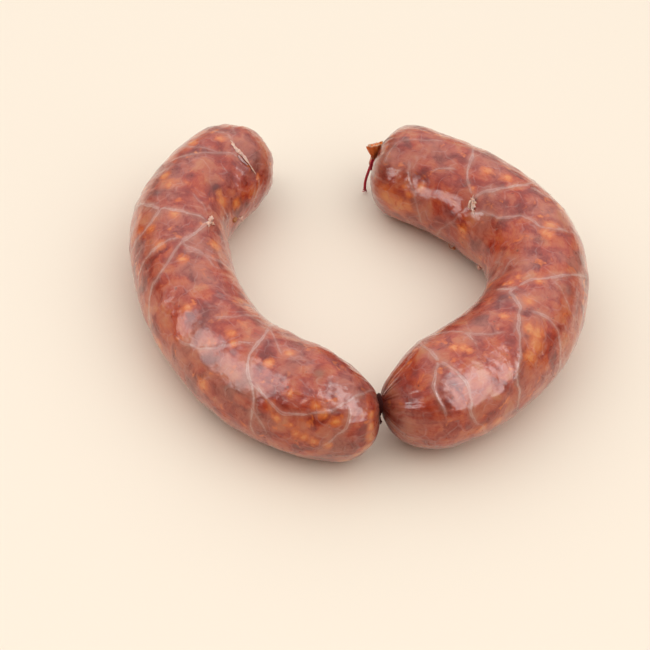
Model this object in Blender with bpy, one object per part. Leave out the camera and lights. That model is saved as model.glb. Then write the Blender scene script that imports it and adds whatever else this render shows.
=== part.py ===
# A string of two filled sausage links, bent into an open ring and lying on a flat top.
# Both links are one piece of casing, drawn in between them and at each far end by a
# wrap of thin twine. Each wrap with its knot and cut tails is a piece of its own.
# Lengths are in mm until a mesh is made. The origin is the middle of the footprint,
# and heights are from the resting surface.

import bpy
import bmesh
import numpy as np

MM = 0.001

# plan route of the centre line, from the left far tie through the middle tie to the
# right far tie
LEFT_ROUTE = [(-42.6, 59.6), (-54.2, 42.4), (-63.9, 17.4), (-60.6, -5.5), (-49.1, -29.9),
              (-29.5, -49.8), (-6, -58)]
MIDDLE_TIE = (12.5, -54.6)
RIGHT_ROUTE = [(31.8, -46.6), (53.2, -23.7), (63.3, 1.4), (58.4, 30.6), (42, 45.9),
               (19, 57.4), (0.8, 63.1)]
TIE_HEIGHTS = (12, 18, 16)
TIE_EASE = 17

# radius of each link at even steps along it
LEFT_GIRTH = [17.9, 17.7, 17.6, 17.4, 17.6, 18.7, 18]
RIGHT_GIRTH = [17, 19.1, 18.8, 18.1, 18.3, 18.0, 17.3]

# rounded ends: length on the outer side of the bend, length on its inner side,
# bluntness on the outer side, bluntness on the inner side
LEFT_FAR_END = (21, 19.5, 2.0, 2.05)
LEFT_NEAR_END = (12, 30, 2.5, 1.8)
RIGHT_NEAR_END = (19, 22, 2.0, 1.8)
RIGHT_FAR_END = (15, 14, 2.4, 2.5)

SINK = 0.7
NECK_RADIUS = 2.5
NECK_HALF = 0.75
SIDES = 32
LEFT_STATIONS = 50
RIGHT_STATIONS = 52
CROWDING = 0.92

# gathers close to the ties: number, depth as a share of the radius, reach
GATHERS = 8
GATHER_DEPTH = 0.07
GATHER_REACH = 5.5

# low lumps of the filling: height, lengths of its two waves along the string, and how
# far a wave leans as it goes round
LUMP = 0.3
LUMP_WAVES = (9, 15)
LUMP_LEAN = 2.1
LUMP_PHASE = 0.6
NECK_BLEND = 4

# pinches in the casing: distance along the string, angle from the top towards the
# outer side in degrees, half length, half angle, depth
PINCHES = [(57, 275, 5, 26, 0.5), (119, 325, 4, 20, 0.5), (247, 290, 2.6, 30, 1.0),
           (262, 300, 5, 24, 0.5), (205, 20, 6, 24, 0.35)]

# gathered casing beyond the far ties: place from the middle of the tie, half width,
# half depth
LEFT_STUB = [(1.1, 1.7, -0.6, 2.4, 1.8), (1.7, 3.3, -1.9, 2.6, 1.3),
             (1.9, 4.9, -3.9, 3.4, 1.2)]
LEFT_STUB_WIDE = (-0.9, 0.4, 0.1)
RIGHT_STUB = [(-1.2, 0.6, 0.8, 2.1, 1.3), (-1.6, 0.9, 2.7, 1.8, 0.9),
              (-1.5, 1.2, 5.0, 2.5, 0.85), (-0.7, 1.7, 7.6, 3.7, 1.0)]
RIGHT_STUB_WIDE = (0.85, 0.53, 0)
STUB_STATIONS = 8
STUB_GATHER = 0.16
STUB_RIM = 0.5
STUB_TURN = 0.35

# twine: two turns side by side round the casing, a knot outside them and cut tails
TWINE_RADIUS = 0.45
INNER_TURN = 3.35
OUTER_TURN = 4.15
TURN_STEPS = 24
TWINE_SIDES = 8
KNOT_SIZE = (1.05, 0.65, 0.8)
KNOT_ROWS = 6
KNOT_SIDES = 10
KNOT_LIFT = 0.85
TIES = {
    "neck_tie": {
        "knot_angle": 140,
        "tails": [[(1.2, -1.2, -1.6), (2.0, -1.4, -3.6), (2.2, -0.8, -5.4)],
                  [(0.3, -1.8, -1.5), (0.2, -2.6, -3.1), (0.8, -2.9, -4.6)]]},
    "end_tie_left": {
        "knot_angle": 180,
        "tails": [[(0.8, 0.9, -0.6), (2.2, 2.6, -1.4), (3.3, 4.4, -2.6)],
                  [(-1.6, 0.2, -0.6), (-3.3, 1.2, -1.6), (-4.6, 2.6, -2.3)]]},
    "end_tie_right": {
        "knot_angle": 90,
        "tails": [[(-1.7, -0.4, -1.4), (-3.0, -2.4, -3.4), (-3.7, -4.0, -6.0),
                   (-4.2, -4.2, -10.5), (-3.9, -4.6, -15.0)],
                  [(0.2, 1.3, -1.1), (0.3, 2.3, -2.6), (-0.2, 2.9, -4.4)]]}}
TAIL_STATIONS = 9
FRAY = 1.45


def clear_scene():
    for thing in list(bpy.data.objects):
        bpy.data.objects.remove(thing, do_unlink=True)


def natural_spline(knots, values, at):
    """Values at the given places on a smooth curve through all the knots."""
    knots = np.asarray(knots, float)
    values = np.asarray(values, float)
    count = len(knots)
    gap = np.diff(knots)
    matrix = np.eye(count)
    right = np.zeros_like(values)
    for i in range(1, count - 1):
        matrix[i, i - 1:i + 2] = gap[i - 1], 2 * (gap[i - 1] + gap[i]), gap[i]
        slope_after = (values[i + 1] - values[i]) / gap[i]
        slope_before = (values[i] - values[i - 1]) / gap[i - 1]
        right[i] = 6 * (slope_after - slope_before)
    bend = np.linalg.solve(matrix, right)
    k = np.clip(np.searchsorted(knots, at) - 1, 0, count - 2)
    before = (at - knots[k])[:, None]
    after = (knots[k + 1] - at)[:, None]
    step = gap[k][:, None]
    curve = (bend[k] * after ** 3 + bend[k + 1] * before ** 3) / (6 * step)
    curve += (values[k] / step - bend[k] * step / 6) * after
    curve += (values[k + 1] / step - bend[k + 1] * step / 6) * before
    return curve


def run_lengths(points):
    steps = np.linalg.norm(np.diff(np.asarray(points, float), axis=0), axis=1)
    return np.concatenate([[0], np.cumsum(steps)])


def unit(vectors):
    vectors = np.asarray(vectors, float)
    return vectors / np.linalg.norm(vectors, axis=-1, keepdims=True)


def ease(x):
    x = np.clip(x, 0, 1)
    return x * x * (3 - 2 * x)


def around(count):
    return np.arange(count) * 2 * np.pi / count


def crowded(start, end, count):
    """Places from start to end, closer together towards both."""
    q = np.linspace(0, 1, count)
    return start + (end - start) * (q - CROWDING * np.sin(2 * np.pi * q) / (2 * np.pi))


def rounded_end(distance, shape, angle):
    """Share of the full radius at a distance in from the neck."""
    outer, inner, blunt_outer, blunt_inner = shape
    inward = 0.5 - 0.5 * np.sin(angle)
    length = outer + (inner - outer) * inward
    power = blunt_outer + (blunt_inner - blunt_outer) * inward
    depth = np.clip(distance[:, None] / length, 0, 1)
    return (1 - (1 - depth) ** power) ** (1 / power)


def link_radii(along, start, end, girth, end_shapes, angle):
    """Radius of one link at each place and angle, and its girth at each place."""
    first = along - start - NECK_HALF
    last = end - along - NECK_HALF
    steps = np.linspace(start, end, len(girth))
    full = natural_spline(steps, np.array(girth, float)[:, None], along)[:, 0]
    share = rounded_end(first, end_shapes[0], angle)
    share = share * rounded_end(last, end_shapes[1], angle)
    body = full[:, None] * share
    radius = (body ** NECK_BLEND + NECK_RADIUS ** NECK_BLEND) ** (1 / NECK_BLEND)
    fullness = 1 - (NECK_RADIUS / radius) ** 2
    near = np.exp(-np.minimum(first, last) / GATHER_REACH)[:, None]
    radius = radius * (1 + GATHER_DEPTH * near * fullness * np.cos(GATHERS * angle))
    lean = LUMP_LEAN * np.sin(angle + LUMP_PHASE)
    wave = np.sin(along[:, None] / LUMP_WAVES[0] + lean)
    wave = wave * np.cos(2 * angle + along[:, None] / LUMP_WAVES[1])
    radius = radius + LUMP * fullness * wave
    return radius, full


def pinch_depth(along, angle):
    depth = np.zeros((len(along), len(angle)))
    for place, turn, half_length, half_angle, most in PINCHES:
        off = np.degrees(angle) - turn
        off = (off + 180) % 360 - 180
        away = ((along - place) / half_length)[:, None] ** 2
        depth += most * np.exp(-away - (off / half_angle) ** 2)
    return depth


def stub_rings(stub, wide, tie, neck_side, angle):
    """Rings of the gathered casing, from the tie out to the flared rim."""
    centre, axis = tie
    edge = (*(NECK_HALF * axis), NECK_RADIUS, NECK_RADIUS)
    rows = np.array([edge, *stub], float)
    rows[:, :3] += centre
    run = run_lengths(rows[:, :3])
    at = np.linspace(0, run[-1], STUB_STATIONS)
    curve = natural_spline(run, rows, at)
    centres = curve[:, :3]
    out = run_lengths(centres) / run[-1]
    tangent = unit(np.gradient(centres, axis=0))
    turning = ease((out - STUB_TURN) / (1 - STUB_TURN))[:, None]
    side = unit(neck_side + (unit(wide) - neck_side) * turning)
    side = unit(side - (side * tangent).sum(axis=1)[:, None] * tangent)
    up = np.cross(side, tangent)
    pleat = 1 + STUB_GATHER * out[:, None] * np.cos(GATHERS * angle)
    sideways = curve[:, 3:4] * pleat * np.sin(angle)
    upwards = curve[:, 4:5] * pleat * np.cos(angle)
    rings = centres[:, None] + sideways[..., None] * side[:, None]
    rings = rings + upwards[..., None] * up[:, None]
    ragged = STUB_RIM * np.sin(3 * angle + 1) * np.cos(2 * angle)
    rings[-1] = rings[-1] + ragged[:, None] * tangent[-1]
    return rings


def casing_rings():
    """All rings of the casing, from the left rim to the right rim, and the ties."""
    route = np.array(LEFT_ROUTE + [MIDDLE_TIE] + RIGHT_ROUTE, float)
    run = run_lengths(route)
    middle = run[len(LEFT_ROUTE)]
    total = run[-1]
    angle = around(SIDES)
    left_at = crowded(NECK_HALF, middle - NECK_HALF, LEFT_STATIONS)
    right_at = crowded(middle + NECK_HALF, total - NECK_HALF, RIGHT_STATIONS)
    left = link_radii(left_at, 0, middle, LEFT_GIRTH,
                      (LEFT_FAR_END, LEFT_NEAR_END), angle)
    right = link_radii(right_at, middle, total, RIGHT_GIRTH,
                       (RIGHT_NEAR_END, RIGHT_FAR_END), angle)
    along = np.concatenate([left_at, right_at])
    radius = np.concatenate([left[0], right[0]])
    full = np.concatenate([left[1], right[1]])
    radius = radius - pinch_depth(along, angle)

    plan = natural_spline(run, route, along)
    by_tie = [ease(1 - np.abs(along - place) / TIE_EASE) for place in (0, middle, total)]
    height = (full - SINK) * (1 - sum(by_tie))
    height = height + sum(w * h for w, h in zip(by_tie, TIE_HEIGHTS))
    centres = np.column_stack([plan, height])
    tangent = unit(np.gradient(centres, along, axis=0))

    side = unit(np.cross(tangent, (0, 0, 1)))
    up = np.cross(side, tangent)
    rings = centres[:, None] + (radius * np.sin(angle))[..., None] * side[:, None]
    rings = rings + (radius * np.cos(angle))[..., None] * up[:, None]

    gap = LEFT_STATIONS
    ties = {
        "end_tie_left": (centres[0] - NECK_HALF * tangent[0], -tangent[0]),
        "neck_tie": ((centres[gap - 1] + centres[gap]) / 2,
                     unit(tangent[gap - 1] + tangent[gap])),
        "end_tie_right": (centres[-1] + NECK_HALF * tangent[-1], tangent[-1])}
    left_stub = stub_rings(LEFT_STUB, LEFT_STUB_WIDE, ties["end_tie_left"],
                           -side[0], -angle)[::-1]
    right_stub = stub_rings(RIGHT_STUB, RIGHT_STUB_WIDE, ties["end_tie_right"],
                            side[-1], angle)
    rings = np.concatenate([left_stub, rings, right_stub])
    rings[..., 2] = np.maximum(rings[..., 2], 0)
    return rings, ties


def skin(rings, closed=False):
    """Points and faces over rings of points, with a fan over each open end."""
    rows, sides, _ = rings.shape
    points = rings.reshape(-1, 3)
    row = np.arange(rows if closed else rows - 1)[:, None]
    col = np.arange(sides)[None, :]
    after = (col + 1) % sides
    below = (row + 1) % rows
    quads = np.stack([row * sides + col, row * sides + after,
                      below * sides + after, below * sides + col], axis=-1)
    faces = [tuple(int(v) for v in quad) for quad in quads.reshape(-1, 4)]
    if not closed:
        first, last = len(points), len(points) + 1
        points = np.vstack([points, rings[0].mean(axis=0), rings[-1].mean(axis=0)])
        base = (rows - 1) * sides
        for i in range(sides):
            j = (i + 1) % sides
            faces.append((j, i, first))
            faces.append((base + i, base + j, last))
    return points, faces


def make_object(name, points, faces):
    mesh = bpy.data.meshes.new(name)
    mesh.from_pydata([tuple(p * MM) for p in points], [], faces)
    shaped = bmesh.new()
    shaped.from_mesh(mesh)
    bmesh.ops.triangulate(shaped, faces=shaped.faces[:])
    bmesh.ops.recalc_face_normals(shaped, faces=shaped.faces[:])
    shaped.to_mesh(mesh)
    shaped.free()
    for face in mesh.polygons:
        face.use_smooth = True
    thing = bpy.data.objects.new(name, mesh)
    bpy.context.collection.objects.link(thing)
    return thing


def tube(path, radii, closed=False):
    """Round section carried along a path."""
    path = np.asarray(path, float)
    if closed:
        tangent = unit(np.roll(path, -1, axis=0) - np.roll(path, 1, axis=0))
    else:
        tangent = unit(np.gradient(path, axis=0))
    side = np.cross(tangent[0], (0.31, 0.17, 0.94))
    sides = []
    for t in tangent:
        side = unit(side - (side @ t) * t)
        sides.append(side)
    sides = np.array(sides)
    ups = np.cross(tangent, sides)
    angle = around(TWINE_SIDES)
    reach = np.broadcast_to(np.asarray(radii, float), (len(path),))[:, None, None]
    rings = path[:, None] + reach * np.cos(angle)[:, None] * sides[:, None]
    rings = rings + reach * np.sin(angle)[:, None] * ups[:, None]
    return skin(rings, closed)


def turn(centre, axis_side, axis_up, radius):
    angle = around(TURN_STEPS)[:, None]
    path = centre + radius * (np.cos(angle) * axis_up + np.sin(angle) * axis_side)
    return tube(path, TWINE_RADIUS, closed=True)


def knot(centre, directions):
    """Small rounded lump with its three half sizes along the given directions."""
    polar = np.linspace(0, np.pi, KNOT_ROWS + 2)[1:-1]
    angle = around(KNOT_SIDES)
    ring = np.stack([np.sin(polar)[:, None] * np.cos(angle),
                     np.sin(polar)[:, None] * np.sin(angle),
                     np.cos(polar)[:, None] * np.ones_like(angle)], axis=-1)
    rings = centre + (ring * np.array(KNOT_SIZE)) @ np.array(directions)
    points, faces = skin(rings)
    points[-2] = centre + KNOT_SIZE[2] * directions[2]
    points[-1] = centre - KNOT_SIZE[2] * directions[2]
    return points, faces


def tail(start, steps):
    """Cut end of the twine, spreading a little where it was cut."""
    rows = np.vstack([start, start + np.array(steps, float)])
    run = run_lengths(rows)
    at = np.linspace(0, run[-1], TAIL_STATIONS)
    radii = np.full(TAIL_STATIONS, TWINE_RADIUS)
    radii[-1] = TWINE_RADIUS * FRAY
    return tube(natural_spline(run, rows, at), radii)


def make_tie(name, centre, axis, details):
    side = unit(np.cross(axis, (0, 0, 1)))
    up = np.cross(side, axis)
    turned = np.radians(details["knot_angle"])
    outward = np.cos(turned) * up + np.sin(turned) * side
    sideways = np.cross(axis, outward)
    knot_at = centre + (OUTER_TURN + KNOT_LIFT) * outward
    pieces = [turn(centre, side, up, OUTER_TURN),
              knot(knot_at, [sideways, axis, outward])]
    pieces += [tail(knot_at, steps) for steps in details["tails"]]
    whole = make_object(name, *turn(centre, side, up, INNER_TURN))
    joined = bpy.data.collections.new(name + "_pieces")
    bpy.context.scene.collection.children.link(joined)
    for number, (points, faces) in enumerate(pieces):
        piece = make_object(f"{name}_{number}", points, faces)
        bpy.context.collection.objects.unlink(piece)
        joined.objects.link(piece)
    union = whole.modifiers.new("join", "BOOLEAN")
    union.operation = "UNION"
    union.solver = "EXACT"
    union.operand_type = "COLLECTION"
    union.collection = joined
    view = bpy.context.evaluated_depsgraph_get()
    mesh = bpy.data.meshes.new_from_object(whole.evaluated_get(view))
    whole.modifiers.clear()
    whole.data = mesh
    for piece in list(joined.objects):
        bpy.data.objects.remove(piece, do_unlink=True)
    bpy.data.collections.remove(joined)
    return whole


def tidy(thing):
    shaped = bmesh.new()
    shaped.from_mesh(thing.data)
    bmesh.ops.remove_doubles(shaped, verts=shaped.verts[:], dist=0.00002)
    bmesh.ops.dissolve_degenerate(shaped, edges=shaped.edges[:], dist=0.00001)
    bmesh.ops.triangulate(shaped, faces=shaped.faces[:])
    shaped.to_mesh(thing.data)
    shaped.free()


def material(name, colour, roughness):
    made = bpy.data.materials.new(name)
    made.use_nodes = True
    shader = made.node_tree.nodes["Principled BSDF"]
    shader.inputs["Base Color"].default_value = (*colour, 1)
    shader.inputs["Roughness"].default_value = roughness
    return made


clear_scene()
rings, ties = casing_rings()
links = make_object("sausage_links", *skin(rings))
casing = material("cured_meat_in_casing", (0.36, 0.06, 0.03), 0.3)
links.data.materials.append(casing)
for tie_name, (tie_centre, tie_axis) in ties.items():
    made_tie = make_tie(tie_name, tie_centre, tie_axis, TIES[tie_name])
    tidy(made_tie)
    made_tie.data.materials.clear()
    twine = material(tie_name + "_twine", (0.2, 0.015, 0.02), 0.8)
    made_tie.data.materials.append(twine)
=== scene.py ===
from functools import partial
import bpy
import numpy as np
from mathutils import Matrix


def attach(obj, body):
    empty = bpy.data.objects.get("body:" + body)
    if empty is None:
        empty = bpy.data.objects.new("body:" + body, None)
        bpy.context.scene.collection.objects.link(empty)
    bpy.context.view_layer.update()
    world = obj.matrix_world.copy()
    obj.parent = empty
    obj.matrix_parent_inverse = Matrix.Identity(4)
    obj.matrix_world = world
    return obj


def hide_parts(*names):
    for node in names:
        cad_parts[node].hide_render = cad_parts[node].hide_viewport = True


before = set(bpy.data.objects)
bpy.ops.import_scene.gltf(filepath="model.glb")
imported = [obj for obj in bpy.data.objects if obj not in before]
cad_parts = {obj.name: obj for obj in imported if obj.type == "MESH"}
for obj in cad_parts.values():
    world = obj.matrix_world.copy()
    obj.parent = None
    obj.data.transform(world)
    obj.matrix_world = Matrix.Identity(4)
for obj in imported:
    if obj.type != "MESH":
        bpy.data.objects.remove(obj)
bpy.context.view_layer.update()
print("frame loaded")

mm = 0.001  # shapes are worked out in mm, and scaled when a mesh is made
fullTurn = 2 * np.pi


# helpers for shapes

def unit(vectors):
    return vectors / np.linalg.norm(vectors, axis=-1, keepdims=True)


def turnAngles(count):
    return np.linspace(0, fullTurn, count, endpoint=False)


def ease(x):
    # 3x^2 - 2x^3 between 0 and 1
    x = np.clip(x, 0, 1)
    return x * x * (3 - 2 * x)


def runLengths(points):
    return np.r_[0, np.cumsum(np.linalg.norm(np.diff(points, axis=0), axis=1))]


def naturalSpline(knots, values, at):
    # cubic between knots, with the same slope and bend on both sides of each knot and
    # no bend at the two ends
    knots, values, at = (np.asarray(v, float) for v in (knots, values, at))
    count = len(knots)
    gap = np.diff(knots)
    matrix = np.eye(count)
    right = np.zeros_like(values)
    for i in range(1, count - 1):
        matrix[i, i - 1:i + 2] = gap[i - 1], 2 * (gap[i - 1] + gap[i]), gap[i]
        right[i] = 6 * ((values[i + 1] - values[i]) / gap[i]
                        - (values[i] - values[i - 1]) / gap[i - 1])
    bend = np.linalg.solve(matrix, right)
    k = np.clip(np.searchsorted(knots, at) - 1, 0, count - 2)
    before, after, step = (at - knots[k])[:, None], (knots[k + 1] - at)[:, None], gap[k][:, None]
    curve = (bend[k] * after ** 3 + bend[k + 1] * before ** 3) / (6 * step)
    curve += (values[k] / step - bend[k] * step / 6) * after
    return curve + (values[k + 1] / step - bend[k + 1] * step / 6) * before


def waves(points, length, seed, count=22):
    # sum of plane waves in seeded directions, each about the given length, so it has
    # no seam anywhere, and its spread is about 1
    dice = np.random.default_rng(seed)
    directions = unit(dice.normal(size=(count, 3)))
    lengths = length * dice.uniform(0.7, 1.4, count)
    phases = dice.uniform(0, fullTurn, count)
    total = sum(np.sin(points @ direction * fullTurn / size + phase)
                for direction, size, phase in zip(directions, lengths, phases))
    return total / np.sqrt(count / 2)


def makeMesh(name, points, faces, masks=None, uv=None):
    mesh = bpy.data.meshes.new(name)
    mesh.from_pydata((points * mm).tolist(), [], faces)
    mesh.polygons.foreach_set("use_smooth", np.ones(len(mesh.polygons), bool))
    for label, values in (masks or {}).items():
        layer = mesh.attributes.new(label, "FLOAT", "POINT")
        layer.data.foreach_set("value", np.asarray(values, np.float32).ravel())
    if uv is not None:
        mesh.uv_layers.new(name="run").data.foreach_set("uv", uv.astype(np.float32).ravel())
    mesh.update()
    piece = bpy.data.objects.new(name, mesh)
    bpy.context.scene.collection.objects.link(piece)
    print(name, len(points), "points")
    return piece


def carried(middle, side, up, across, over):
    # a section carried along a path: middle + across times side + over times up
    return middle[:, None] + across[..., None] * side[:, None] + over[..., None] * up[:, None]


def tubeMesh(rings, closed=False):
    # quads between rings of points round a tube, and a fan over each open end
    rows, sides, _ = rings.shape
    row, col = np.arange(rows if closed else rows - 1)[:, None], np.arange(sides)
    nextRow, nextCol = (row + 1) % rows, (col + 1) % sides
    quads = np.stack([row * sides + col, row * sides + nextCol,
                      nextRow * sides + nextCol, nextRow * sides + col], axis=-1)
    points, faces = rings.reshape(-1, 3), quads.reshape(-1, 4).tolist()
    if not closed:
        first, base = rows * sides, (rows - 1) * sides
        points = np.vstack([points, rings[0].mean(axis=0), rings[-1].mean(axis=0)])
        faces += np.stack([nextCol, col, np.full(sides, first)], -1).tolist()
        faces += np.stack([base + col, base + nextCol, np.full(sides, first + 1)], -1).tolist()
    return points, faces


def joinedPiece(name, parts, label, values):
    # one piece from (points, faces) parts, each part with its value of the labelled mask
    sizes = [len(points) for points, _ in parts]
    points = np.concatenate([points for points, _ in parts])
    points[:, 2] = np.maximum(points[:, 2], 0.05)  # just clear of the floor
    starts = (np.cumsum(sizes) - sizes).tolist()
    faces = [[start + v for v in face] for start, part in zip(starts, parts) for face in part[1]]
    return makeMesh(name, points, faces, {label: np.repeat(values, sizes)})


# the string: same route, girths, ends and lumps as the solids, from the left far tie
# through the neck to the right far tie

string = {
    "route": [(-42.6, 59.6), (-54.2, 42.4), (-63.9, 17.4), (-60.6, -5.5), (-49.1, -29.9),
              (-29.5, -49.8), (-6, -58), (12.5, -54.6), (31.8, -46.6), (53.2, -23.7),
              (63.3, 1.4), (58.4, 30.6), (42, 45.9), (19, 57.4), (0.8, 63.1)],
    "neck": 7,  # which of these is the neck
    "girths": {"left": [17.9, 17.7, 17.6, 17.4, 17.6, 18.7, 18],
               "right": [17, 19.1, 18.8, 18.1, 18.3, 18.0, 17.3]},
    "ends": {  # length outer, length inner, bluntness outer, bluntness inner
        "left": ((21, 19.5, 2.0, 2.05), (12, 30, 2.5, 1.8)),
        "right": ((19, 22, 2.0, 1.8), (15, 14, 2.4, 2.5))},
    "tieHeights": (12, 18, 16), "tieEase": 17, "sink": 0.7,
    "neckRadius": 2.5, "neckHalf": 0.75, "neckBlend": 4,
    "gathers": 8, "gatherDepth": 0.07, "gatherReach": 5.5,
    "lump": 0.3, "lumpWaves": (9, 15), "lumpLean": 2.1, "lumpPhase": 0.6,
    "pinches": [(57, 275, 5, 26, 0.5), (119, 325, 4, 20, 0.5), (247, 290, 2.6, 30, 1.0),
                (262, 300, 5, 24, 0.5), (205, 20, 6, 24, 0.35)],
}
routeRun = runLengths(np.array(string["route"]))
neckRun, totalRun = routeRun[string["neck"]], routeRun[-1]
linkSpan = {"left": (0, neckRun), "right": (neckRun, totalRun)}


def girthAt(along):
    # one spline of half widths for each link
    left, right = (naturalSpline(np.linspace(*linkSpan[name], 7), np.c_[values], along)[:, 0]
                   for name, values in string["girths"].items())
    return np.where(along < neckRun, left, right)


def makeSpine():
    # plan on the spline; the height is the girth, eased to each tie's height near it
    along = np.linspace(0, totalRun, 1400)
    byTie = [ease(1 - np.abs(along - at) / string["tieEase"]) for at in (0, neckRun, totalRun)]
    height = (girthAt(along) - string["sink"]) * (1 - sum(byTie))
    height = height + sum(w * h for w, h in zip(byTie, string["tieHeights"]))
    centre = np.column_stack([naturalSpline(routeRun, string["route"], along), height])
    tangent = unit(np.gradient(centre, along, axis=0))
    side = unit(np.cross(tangent, (0, 0, 1)))
    return {"along": along, "centre": centre, "tangent": tangent, "side": side,
            "up": np.cross(side, tangent)}


spine = makeSpine()


def spineAt(name, along):
    return np.stack([np.interp(along, spine["along"], column) for column in spine[name].T], -1)


def roundedEnd(distance, shape, angle):
    # share of the girth: a superellipse whose length and power change from the outer
    # side of the bend to the inner side
    outer, inner, bluntOuter, bluntInner = shape
    inward = 0.5 - 0.5 * np.sin(angle)
    power = bluntOuter + (bluntInner - bluntOuter) * inward
    depth = np.clip(distance / (outer + (inner - outer) * inward), 0, 1)
    return (1 - (1 - depth) ** power) ** (1 / power)


def linkRadius(along, angle, link):
    # girth times both rounded ends, blended with the neck, plus gathers by the ties,
    # low lumps of filling, less the pinches
    start, end = linkSpan[link]
    first, last = along - start - string["neckHalf"], end - along - string["neckHalf"]
    body = girthAt(along.ravel()).reshape(along.shape)
    for distance, end in zip((first, last), string["ends"][link]):
        body = body * roundedEnd(distance, end, angle)
    blend, neck = string["neckBlend"], string["neckRadius"]
    radius = (body ** blend + neck ** blend) ** (1 / blend)
    fullness = 1 - (neck / radius) ** 2
    near = np.exp(-np.maximum(np.minimum(first, last), 0) / string["gatherReach"])
    radius = radius * (1 + string["gatherDepth"] * near * fullness * np.cos(string["gathers"] * angle))
    lean = string["lumpLean"] * np.sin(angle + string["lumpPhase"])
    wave = np.sin(along / string["lumpWaves"][0] + lean)
    wave = wave * np.cos(2 * angle + along / string["lumpWaves"][1])
    radius = radius + string["lump"] * fullness * wave
    for place, turn, halfLength, halfAngle, most in string["pinches"]:
        off = (np.degrees(angle) - turn + 180) % 360 - 180
        radius = radius - most * np.exp(-((along - place) / halfLength) ** 2
                                        - (off / halfAngle) ** 2)
    return radius, fullness


def surfacePoints(along, angle, radius):
    # centre + radius times (cosine up + sine side)
    side, up = unit(spineAt("side", along)), unit(spineAt("up", along))
    points = spineAt("centre", along) + (radius * np.sin(angle))[..., None] * side
    return points + (radius * np.cos(angle))[..., None] * up


def skinPoints(along, angle, link, lift=0):
    # points on a link, or lifted off it, for two numbers or two columns of them
    along, angle = (np.reshape(v, (-1, 1)).astype(float) for v in (along, angle))
    return surfacePoints(along, angle, linkRadius(along, angle, link)[0] + lift)[:, 0]


# veins and threads in the casing: (distance along the string, degrees from the top
# towards the outer side) points, then width and height in mm

veins = {
    "left": [
        ([(36, 60), (36, 41), (32, 16), (27, -4), (22, -22), (21, -40)], 0.55, 0.25),
        ([(44, 84), (51, 68), (53, 46), (57, 29), (59, 7), (61, -16), (62, -33)], 0.7, 0.4),
        ([(62, -34), (66, -23), (70, -12), (74, 5), (79, 23), (83, 44), (85, 58), (89, 76),
          (95, 100)], 0.6, 0.35),
        ([(72, 5), (72, 24), (73, 46), (76, 71), (80, 96)], 0.55, 0.3),
        ([(57, 24), (60, 31), (64, 53), (65, 77), (66, 104)], 0.6, 0.3),
        ([(70, -8), (74, 5), (79, -11), (86, -24), (83, -62)], 0.5, 0.2),
        ([(108, 14), (112, -1), (115, -21), (117, -44), (120, -70)], 0.5, 0.2),
        ([(121, -60), (123, -37), (127, 2), (128, 22), (130, 36), (134, 52), (135, 73), (135, 85),
          (137, 110)], 0.6, 0.35),
        ([(104, 62), (111, 53), (117, 35), (122, 17), (127, 0)], 0.45, 0.25),
        ([(124, -25), (128, -17), (137, 7)], 0.4, 0.2),
        ([(134, 66), (136, 72), (139, 88), (141, 104)], 0.4, 0.2),
        ([(133, 44), (139, 54), (142, 59), (148, 53), (153, 44), (157, 35), (162, 25),
          (167, 7)], 0.55, 0.3),
        ([(157, 37), (157, 56), (155, 72), (150, 96)], 0.5, 0.25),
        ([(20, -60), (24, -74), (31, -84)], 0.4, 0.15),
        ([(49, -8), (53, -19), (56, -27), (60, -32)], 0.35, 0.2),
        ([(29, 72), (28, 57), (28, 42), (28, 21), (27, 3), (26, -6), (22, -22)], 0.5, 0.22),
        ([(15, 60), (16, 44), (17, 18), (17, 1), (19, -10)], 0.5, 0.22),
        ([(13, 20), (15, 8), (16, -2), (18, -8)], 0.4, 0.25),
        ([(19, -54), (19, -66), (22, -77), (27, -88)], 0.4, 0.2),
        ([(77, 8), (79, -7), (81, -16), (83, -31), (84, -58)], 0.7, 0.2)],
    "right": [
        ([(314, 40), (311, 20), (308, -4), (305, -23), (299, -38)], 0.6, 0.3),
        ([(298, -44), (297, -34), (294, -20), (290, -5), (288, 16), (290, 43), (294, 70)], 0.65, 0.4),
        ([(287, 14), (282, 27), (279, 45), (278, 70)], 0.55, 0.3),
        ([(297, -60), (294, -51), (286, -44), (279, -30), (274, -14), (268, 2), (268, 32),
          (270, 60)], 0.55, 0.3),
        ([(338, -48), (337, -29), (334, -11), (329, -2), (320, 12)], 0.5, 0.2),
        ([(320, -36), (314, -25), (309, -19)], 0.45, 0.2),
        ([(329, -30), (326, -52), (319, -82), (316, -110)], 0.45, 0.2),
        ([(298, -48), (301, -70), (306, -96), (310, -122)], 0.45, 0.2),
        ([(232, -46), (233, -24), (239, -12), (243, 4), (248, 22), (253, 43), (258, 74)], 0.6, 0.35),
        ([(236, -18), (232, -21), (226, -4), (220, 10), (215, 23), (211, 41), (208, 51), (207, 71),
          (206, 96)], 0.65, 0.35),
        ([(226, 10), (229, 26), (229, 42), (228, 59), (226, 76), (225, 100)], 0.55, 0.3),
        ([(244, 10), (242, 25), (239, 44), (240, 70)], 0.45, 0.2),
        ([(190, -62), (188, -43), (188, -22), (188, 1), (186, 15), (184, 34), (185, 50),
          (186, 67)], 0.6, 0.3),
        ([(188, 1), (191, 14), (193, 29), (193, 44), (192, 62), (195, 88)], 0.6, 0.35),
        ([(190, -40), (197, -37), (201, -29), (203, -16), (201, 13)], 0.5, 0.25),
        ([(202, -22), (203, -18), (209, 2), (214, 9)], 0.45, 0.2),
        ([(240, -64), (246, -50), (253, -41), (254, -27)], 0.45, 0.2),
        ([(262, -70), (256, -58), (250, -48)], 0.4, 0.2)],
}


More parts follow.
